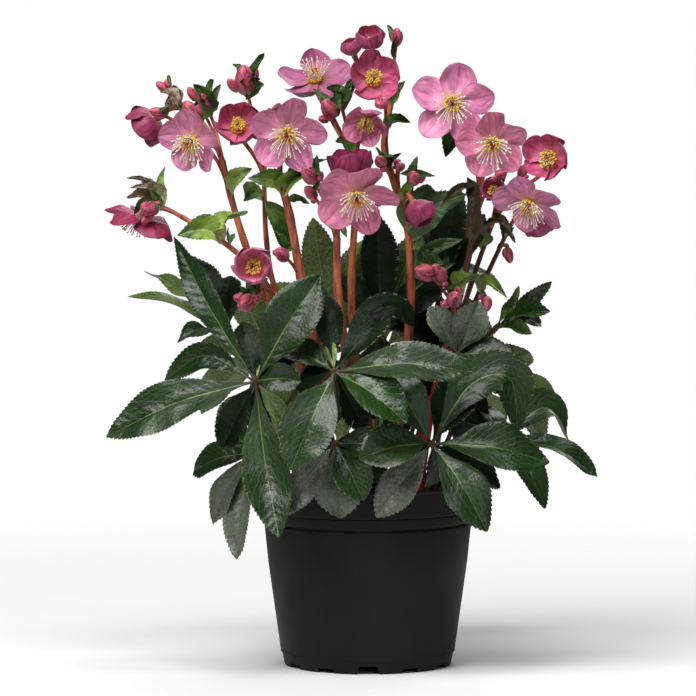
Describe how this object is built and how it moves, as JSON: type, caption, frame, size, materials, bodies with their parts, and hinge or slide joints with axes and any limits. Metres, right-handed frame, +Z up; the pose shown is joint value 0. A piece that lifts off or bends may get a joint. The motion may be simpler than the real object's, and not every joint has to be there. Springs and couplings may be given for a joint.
{
  "type": "potted hellebore",
  "caption": "Flowering hellebore in a plain round nursery pot: pink and lilac cup-shaped blooms with cream stamens on reddish stems above dark toothed leaves.",
  "frame": {"origin": "middle of the underside of the pot, on the surface that it stands on", "axes": "+Z up the plant, -Y towards the side that the picture shows, +X to the right of that side"},
  "size_m": [0.4452, 0.3453, 0.5822],
  "materials": {
    "pot_plastic": "satin black moulded plastic",
    "potting_mix": "moist reddish-brown peat and bark crumbs",
    "stem_skin": "smooth reddish-brown stem with fine speckles",
    "leaf_blade": "leathery dark green with a grey sheen and a pale midrib",
    "sepal_lilac": "soft lilac pink with fine darker veins",
    "sepal_pink": "soft clear pink with fine darker veins",
    "sepal_rose": "soft rose red with a paler middle",
    "sepal_magenta": "soft dark magenta",
    "stamens": "cream filaments and yellow anthers"
  },
  "bodies": {
    "root": {"bloom_01": "sepal_lilac", "bloom_02": "sepal_rose", "bloom_03": "sepal_lilac", "bloom_04": "sepal_lilac", "bloom_05": "sepal_rose", "bloom_06": "sepal_pink", "bloom_07": "sepal_pink", "bloom_08": "sepal_magenta", "bloom_09": "sepal_lilac", "bloom_10": "sepal_pink", "bloom_11": "sepal_rose", "bloom_12": "sepal_lilac", "bloom_13": "sepal_magenta", "bloom_14": "sepal_magenta", "bloom_15": "sepal_rose", "bloom_16": "sepal_magenta", "bloom_17": "sepal_magenta", "bloom_18": "sepal_rose", "bloom_19": "sepal_magenta", "bloom_20": "sepal_rose", "flower_stem_1": "stem_skin", "flower_stem_10": "stem_skin", "flower_stem_2": "stem_skin", "flower_stem_3": "stem_skin", "flower_stem_4": "stem_skin", "flower_stem_5": "stem_skin", "flower_stem_6": "stem_skin", "flower_stem_7": "stem_skin", "flower_stem_8": "stem_skin", "flower_stem_9": "stem_skin", "leaf_01": "leaf_blade", "leaf_02": "leaf_blade", "leaf_03": "leaf_blade", "leaf_04": "leaf_blade", "leaf_05": "leaf_blade", "leaf_06": "leaf_blade", "leaf_07": "leaf_blade", "leaf_08": "leaf_blade", "leaf_09": "leaf_blade", "leaf_10": "leaf_blade", "leaf_11": "leaf_blade", "leaf_12": "leaf_blade", "leaf_13": "leaf_blade", "leaf_14": "leaf_blade", "leaf_15": "leaf_blade", "pot": "pot_plastic", "soil": "potting_mix", "stamens_01": "stamens", "stamens_02": "stamens", "stamens_03": "stamens", "stamens_04": "stamens", "stamens_05": "stamens", "stamens_06": "stamens", "stamens_07": "stamens", "stamens_08": "stamens", "stamens_09": "stamens", "stamens_10": "stamens", "stamens_11": "stamens", "stamens_12": "stamens", "stamens_14": "stamens"}
  },
  "joints": []
}
